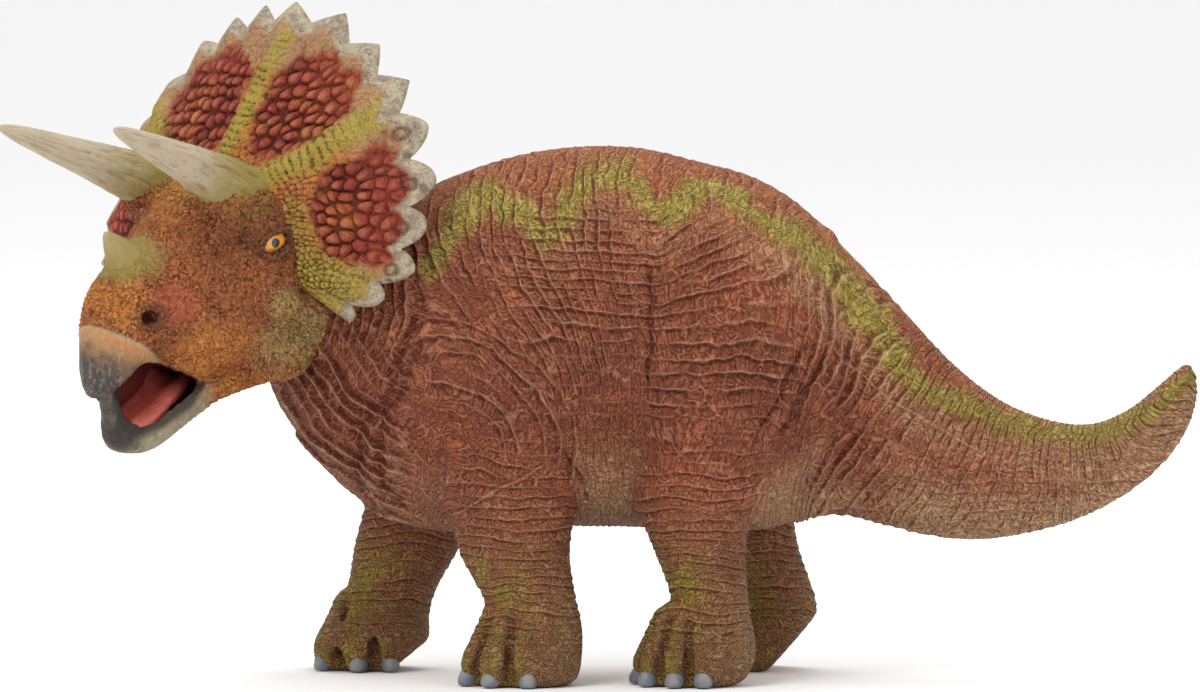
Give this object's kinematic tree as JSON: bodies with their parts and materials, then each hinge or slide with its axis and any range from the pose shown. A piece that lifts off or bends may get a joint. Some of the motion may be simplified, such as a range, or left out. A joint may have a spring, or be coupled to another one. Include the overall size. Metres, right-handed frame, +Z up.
{
  "type": "toy dinosaur figure",
  "caption": "Painted horned dinosaur toy figure, walking with its head turned to its left and its mouth open, with a wide frill, horns and a long tail.",
  "frame": {"origin": "on the ground under the middle of the figure's bounding box", "axes": "+Z up, -X towards the head, +X towards the tail tip, -Y towards the figure's left side"},
  "size_m": [0.2382, 0.0912, 0.1349],
  "materials": {
    "skin": "matte, dry brushed over a sculpted skin",
    "face": "matte, dry brushed",
    "frill": "matte, dry brushed",
    "jaw": "matte",
    "horn": "matte",
    "tongue": "satin",
    "eye": "gloss",
    "core": "raw filler"
  },
  "bodies": {
    "root": {"torso_left_half": "skin", "torso_right_half": "skin", "torso_core": "core", "tail": "skin", "front_leg_left": "skin", "front_leg_right": "skin", "hind_leg_left": "skin", "hind_leg_right": "skin", "skull": "face", "frill": "frill", "lower_jaw": "jaw", "tongue": "tongue", "nose_horn": "horn", "brow_horn_left": "horn", "brow_horn_right": "horn", "eye_left": "eye", "eye_right": "eye"}
  },
  "joints": []
}
